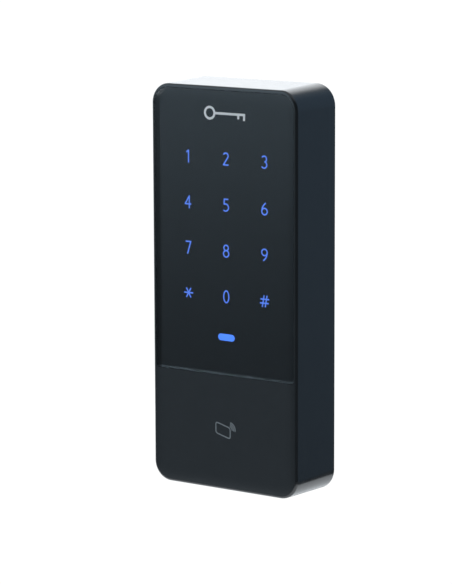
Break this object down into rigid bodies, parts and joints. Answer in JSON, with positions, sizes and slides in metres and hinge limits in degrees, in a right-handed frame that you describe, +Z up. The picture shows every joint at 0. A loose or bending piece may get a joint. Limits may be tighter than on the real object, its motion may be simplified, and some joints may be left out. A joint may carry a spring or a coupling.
{
  "type": "keypad access reader",
  "caption": "Slim black wall-mounted access reader: glossy touch keypad with blue lit legends over a card reading area, hung on a steel bracket and held by a lock screw.",
  "frame": {"origin": "centre of the bracket's back face, in the plane of the wall, midway between the wall screws", "axes": "+X to the right as seen from the front, +Y towards the wall, +Z up along the reader's length"},
  "size_m": [0.0704, 0.027, 0.1622],
  "materials": {
    "housing_black": "satin moulded polycarbonate, very dark blue-black",
    "panel_clear": "clear polished acrylic, 3.0 mm",
    "panel_ink": "opaque black ink on the back of the clear panel",
    "adhesive_tape": "black foam adhesive",
    "legend_blue": "translucent legend lit in blue from behind",
    "status_blue": "translucent bar lit in blue from behind",
    "badge_print": "pale grey screen print",
    "symbol_print": "mid grey pad print",
    "diffuser_film": "milky film",
    "board_green": "green solder mask on glass-fibre laminate",
    "board_black": "black solder mask on glass-fibre laminate",
    "copper": "bare copper",
    "frame_white": "white reflective moulding",
    "light_guide": "frosted acrylic",
    "led_package": "white package with a pale lens",
    "header_ivory": "ivory nylon",
    "header_black": "black nylon",
    "chip_black": "moulded epoxy with tinned leads",
    "crystal_can": "plated can",
    "capacitor_can": "bare can with a black stripe",
    "inductor_grey": "dark grey ferrite",
    "chip_ceramic": "tan ceramic with tinned ends",
    "buzzer_black": "black can",
    "ferrite_grey": "matt dark sheet",
    "seal_rubber": "soft silicone, dark grey",
    "cover_black": "fine moulded texture, black",
    "gland_rubber": "soft rubber, black",
    "vent_white": "porous white membrane",
    "switch_black": "black switch case",
    "button_red": "red switch button",
    "spring_steel": "bright spring wire",
    "plunger_grey": "grey acetal",
    "bracket_steel": "brushed stainless sheet",
    "zinc_plate": "zinc plated",
    "screw_black": "black plated steel"
  },
  "bodies": {
    "bracket": {"wall_bracket": "bracket_steel", "bracket_nut": "zinc_plate"},
    "reader": {"front_housing": "housing_black", "keypad_panel": "panel_clear", "panel_print": "panel_ink", "panel_tape": "adhesive_tape", "key_legends": "legend_blue", "status_window": "status_blue", "badge_symbol": "badge_print", "card_symbol": "symbol_print", "legend_diffuser": "diffuser_film", "touch_board": "board_black", "touch_pads": "copper", "light_frame": "frame_white", "status_light_pipe": "light_guide", "key_leds": "led_package", "keypad_header": "header_black", "main_board": "board_green", "board_screws": "zinc_plate", "main_chip": "chip_black", "touch_chip": "chip_black", "radio_chip": "chip_black", "interface_chips": "chip_black", "crystals": "crystal_can", "bulk_capacitors": "capacitor_can", "power_inductor": "inductor_grey", "small_passives": "chip_ceramic", "harness_headers": "header_ivory", "buzzer": "buzzer_black", "antenna_board": "board_green", "antenna_coil": "copper", "ferrite_sheet": "ferrite_grey", "antenna_header": "header_black", "cover_seal": "seal_rubber", "rear_cover": "cover_black", "cover_screws": "zinc_plate", "cable_gland": "gland_rubber", "vent_membrane": "vent_white", "tamper_switch": "switch_black", "tamper_spring": "spring_steel"},
    "plunger": {"tamper_plunger": "plunger_grey"},
    "switch_button": {"tamper_button": "button_red"},
    "captive_ring": {"lock_screw_ring": "spring_steel"},
    "captive_screw": {"lock_screw": "screw_black"}
  },
  "joints": [
    {"name": "reader_lift", "type": "slide", "parent": "bracket", "child": "reader", "axis": [0, 0, 1], "range_m": [0, 0.004]},
    {"name": "plunger_travel", "type": "slide", "parent": "reader", "child": "plunger", "axis": [0, 1, 0], "range_m": [0, 0.002], "stiffness_N_per_m": 250, "springref_m": 0.0035, "deforming": ["tamper_spring"]},
    {"name": "switch_release", "type": "slide", "parent": "reader", "child": "switch_button", "axis": [0, 1, 0], "range_m": [0, 0.0008]},
    {"name": "screw_drop", "type": "slide", "parent": "reader", "child": "captive_ring", "axis": [0, 0, -1], "range_m": [0, 0.0035]},
    {"name": "screw_turn", "type": "hinge", "parent": "captive_ring", "child": "captive_screw", "pos_m": [0, -0.005, -0.0765], "axis": [0, 0, -1], "range_deg": [0, 2521]}
  ],
  "couplings": [
    {"joint": "switch_release", "follows": "plunger_travel", "ratio": 0.4},
    {"joint": "screw_turn", "follows": "screw_drop", "rad_per_m": 12566}
  ]
}
